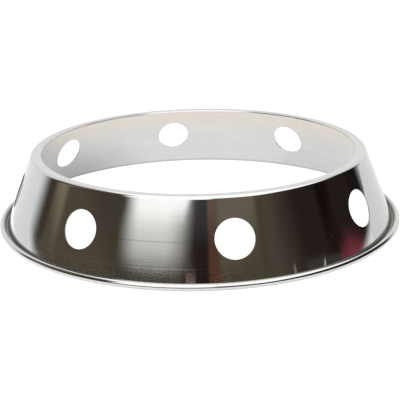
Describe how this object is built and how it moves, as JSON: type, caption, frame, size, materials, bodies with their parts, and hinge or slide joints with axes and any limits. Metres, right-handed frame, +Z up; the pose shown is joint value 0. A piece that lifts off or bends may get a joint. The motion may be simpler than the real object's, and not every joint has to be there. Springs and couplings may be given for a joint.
{
  "type": "wok ring",
  "caption": "Open conical stainless steel stand with a turned-in lip, round side vents and a rolled foot bead, for steadying a round-bottomed wok over a burner.",
  "frame": {"origin": "on the ring's axis, at the surface the ring stands on", "axes": "+Z up along the ring's axis, from the wide foot towards the narrow opening; +X through the centre of a vent"},
  "size_m": [0.26, 0.26, 0.0465],
  "materials": {
    "stainless": "polished stainless sheet with fine turning marks round the outside, satin inside"
  },
  "bodies": {
    "root": {"wok_ring": "stainless"}
  },
  "joints": []
}
